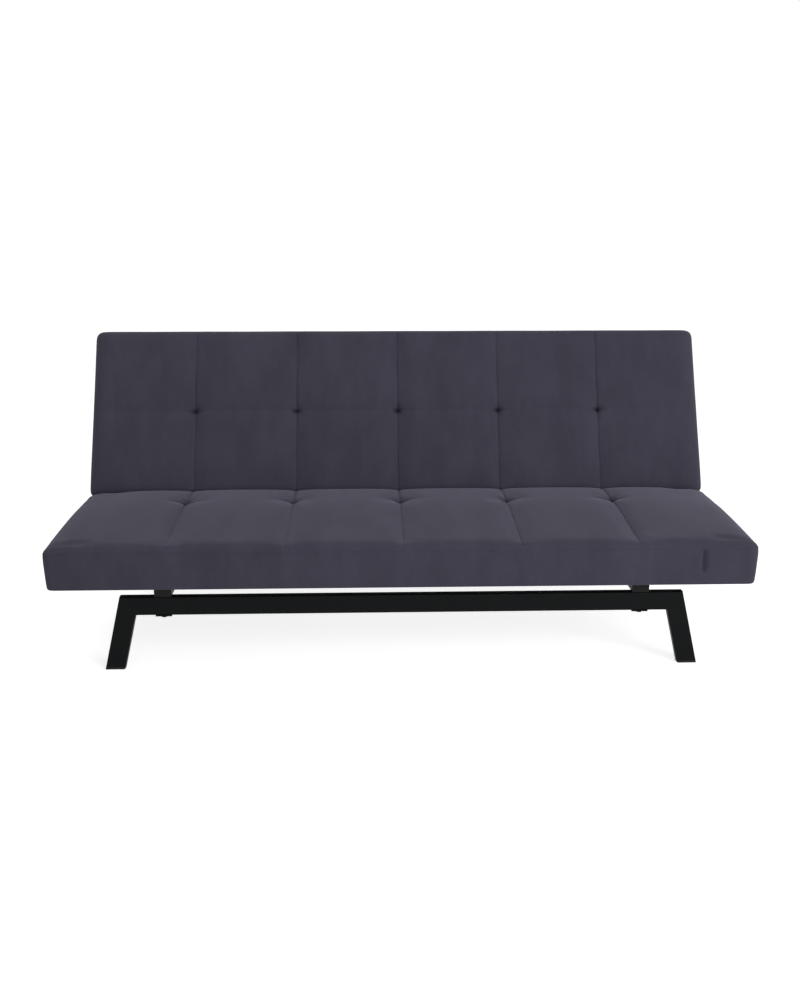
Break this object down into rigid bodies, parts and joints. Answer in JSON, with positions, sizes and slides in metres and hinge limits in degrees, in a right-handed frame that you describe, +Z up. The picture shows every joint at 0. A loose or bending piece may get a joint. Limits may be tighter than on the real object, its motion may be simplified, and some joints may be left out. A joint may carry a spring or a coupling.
{
  "type": "sofa bed",
  "caption": "Armless click clack sofa bed: a tufted seat and back of equal thickness hinged on a splayed steel base, with the back reclining flat.",
  "frame": {"origin": "centre of the bounding box, at the floor, with the back upright in its sofa position", "axes": "+X along the sofa, to the right as seen from the front, +Y from the seat's front to the rear, +Z up"},
  "size_m": [1.8, 0.8212, 0.8183],
  "materials": {
    "velvet": "velvet pile",
    "pine": "sawn",
    "dust_cloth": "non-woven",
    "black_plastic": "moulded",
    "felt": "felt",
    "zinc_steel": "zinc plated",
    "black_steel": "satin powder coat"
  },
  "bodies": {
    "base": {"front_beam": "black_steel", "rear_beam": "black_steel", "crossbar_end_caps": "black_plastic", "clamp_plates": "zinc_steel", "frame_bolts": "zinc_steel", "weld_nuts": "zinc_steel", "pivot_pins": "zinc_steel", "front_leg_left": "black_steel", "rear_leg_left": "black_steel", "front_foot_cap_left": "black_plastic", "rear_foot_cap_left": "black_plastic", "crossbar_left": "black_steel", "hinge_bracket_left": "black_steel", "bearing_strips_left": "felt", "front_leg_right": "black_steel", "rear_leg_right": "black_steel", "front_foot_cap_right": "black_plastic", "rear_foot_cap_right": "black_plastic", "crossbar_right": "black_steel", "hinge_bracket_right": "black_steel", "bearing_strips_right": "felt"},
    "seat": {"seat_cushion": "velvet", "seat_front_border": "velvet", "seat_rear_border": "velvet", "seat_front_rail": "pine", "seat_rear_rail": "pine", "seat_end_border_left": "velvet", "seat_end_rail_left": "pine", "seat_end_border_right": "velvet", "seat_end_rail_right": "pine", "seat_cross_rails": "pine", "seat_slats": "pine", "seat_dust_cover": "dust_cloth", "seat_arm_screws": "zinc_steel", "seat_arm_left": "zinc_steel", "pawl_spring_left": "zinc_steel", "seat_arm_right": "zinc_steel", "pawl_spring_right": "zinc_steel", "pawl_studs": "zinc_steel"},
    "back": {"back_cushion": "velvet", "back_lower_border": "velvet", "back_upper_border": "velvet", "back_lower_rail": "pine", "back_upper_rail": "pine", "back_end_border_left": "velvet", "back_end_rail_left": "pine", "back_end_border_right": "velvet", "back_end_rail_right": "pine", "back_cross_rails": "pine", "back_slats": "pine", "back_dust_cover": "dust_cloth", "back_arm_screws": "zinc_steel", "back_arm_left": "zinc_steel", "back_arm_right": "zinc_steel"},
    "pawl_left": {"pawl_left": "zinc_steel"},
    "pawl_right": {"pawl_right": "zinc_steel"}
  },
  "joints": [
    {"name": "seat_lift", "type": "hinge", "parent": "base", "child": "seat", "pos_m": [0, 0.11736, 0.339], "axis": [-1, 0, 0], "range_deg": [0, 14]},
    {"name": "back_recline", "type": "hinge", "parent": "base", "child": "back", "pos_m": [0, 0.11736, 0.339], "axis": [-1, 0, 0], "range_deg": [0, 66.8]},
    {"name": "pawl_left_lift", "type": "hinge", "parent": "seat", "child": "pawl_left", "pos_m": [-0.617, 0.06236, 0.287], "axis": [-1, 0, 0], "range_deg": [0, 28], "deforming": ["pawl_spring_left"]},
    {"name": "pawl_right_lift", "type": "hinge", "parent": "seat", "child": "pawl_right", "pos_m": [0.617, 0.06236, 0.287], "axis": [-1, 0, 0], "range_deg": [0, 28], "deforming": ["pawl_spring_right"]}
  ],
  "couplings": [
    {"joint": "pawl_left_lift", "follows": "back_recline", "ratio": 0.4},
    {"joint": "pawl_right_lift", "follows": "back_recline", "ratio": 0.4}
  ]
}
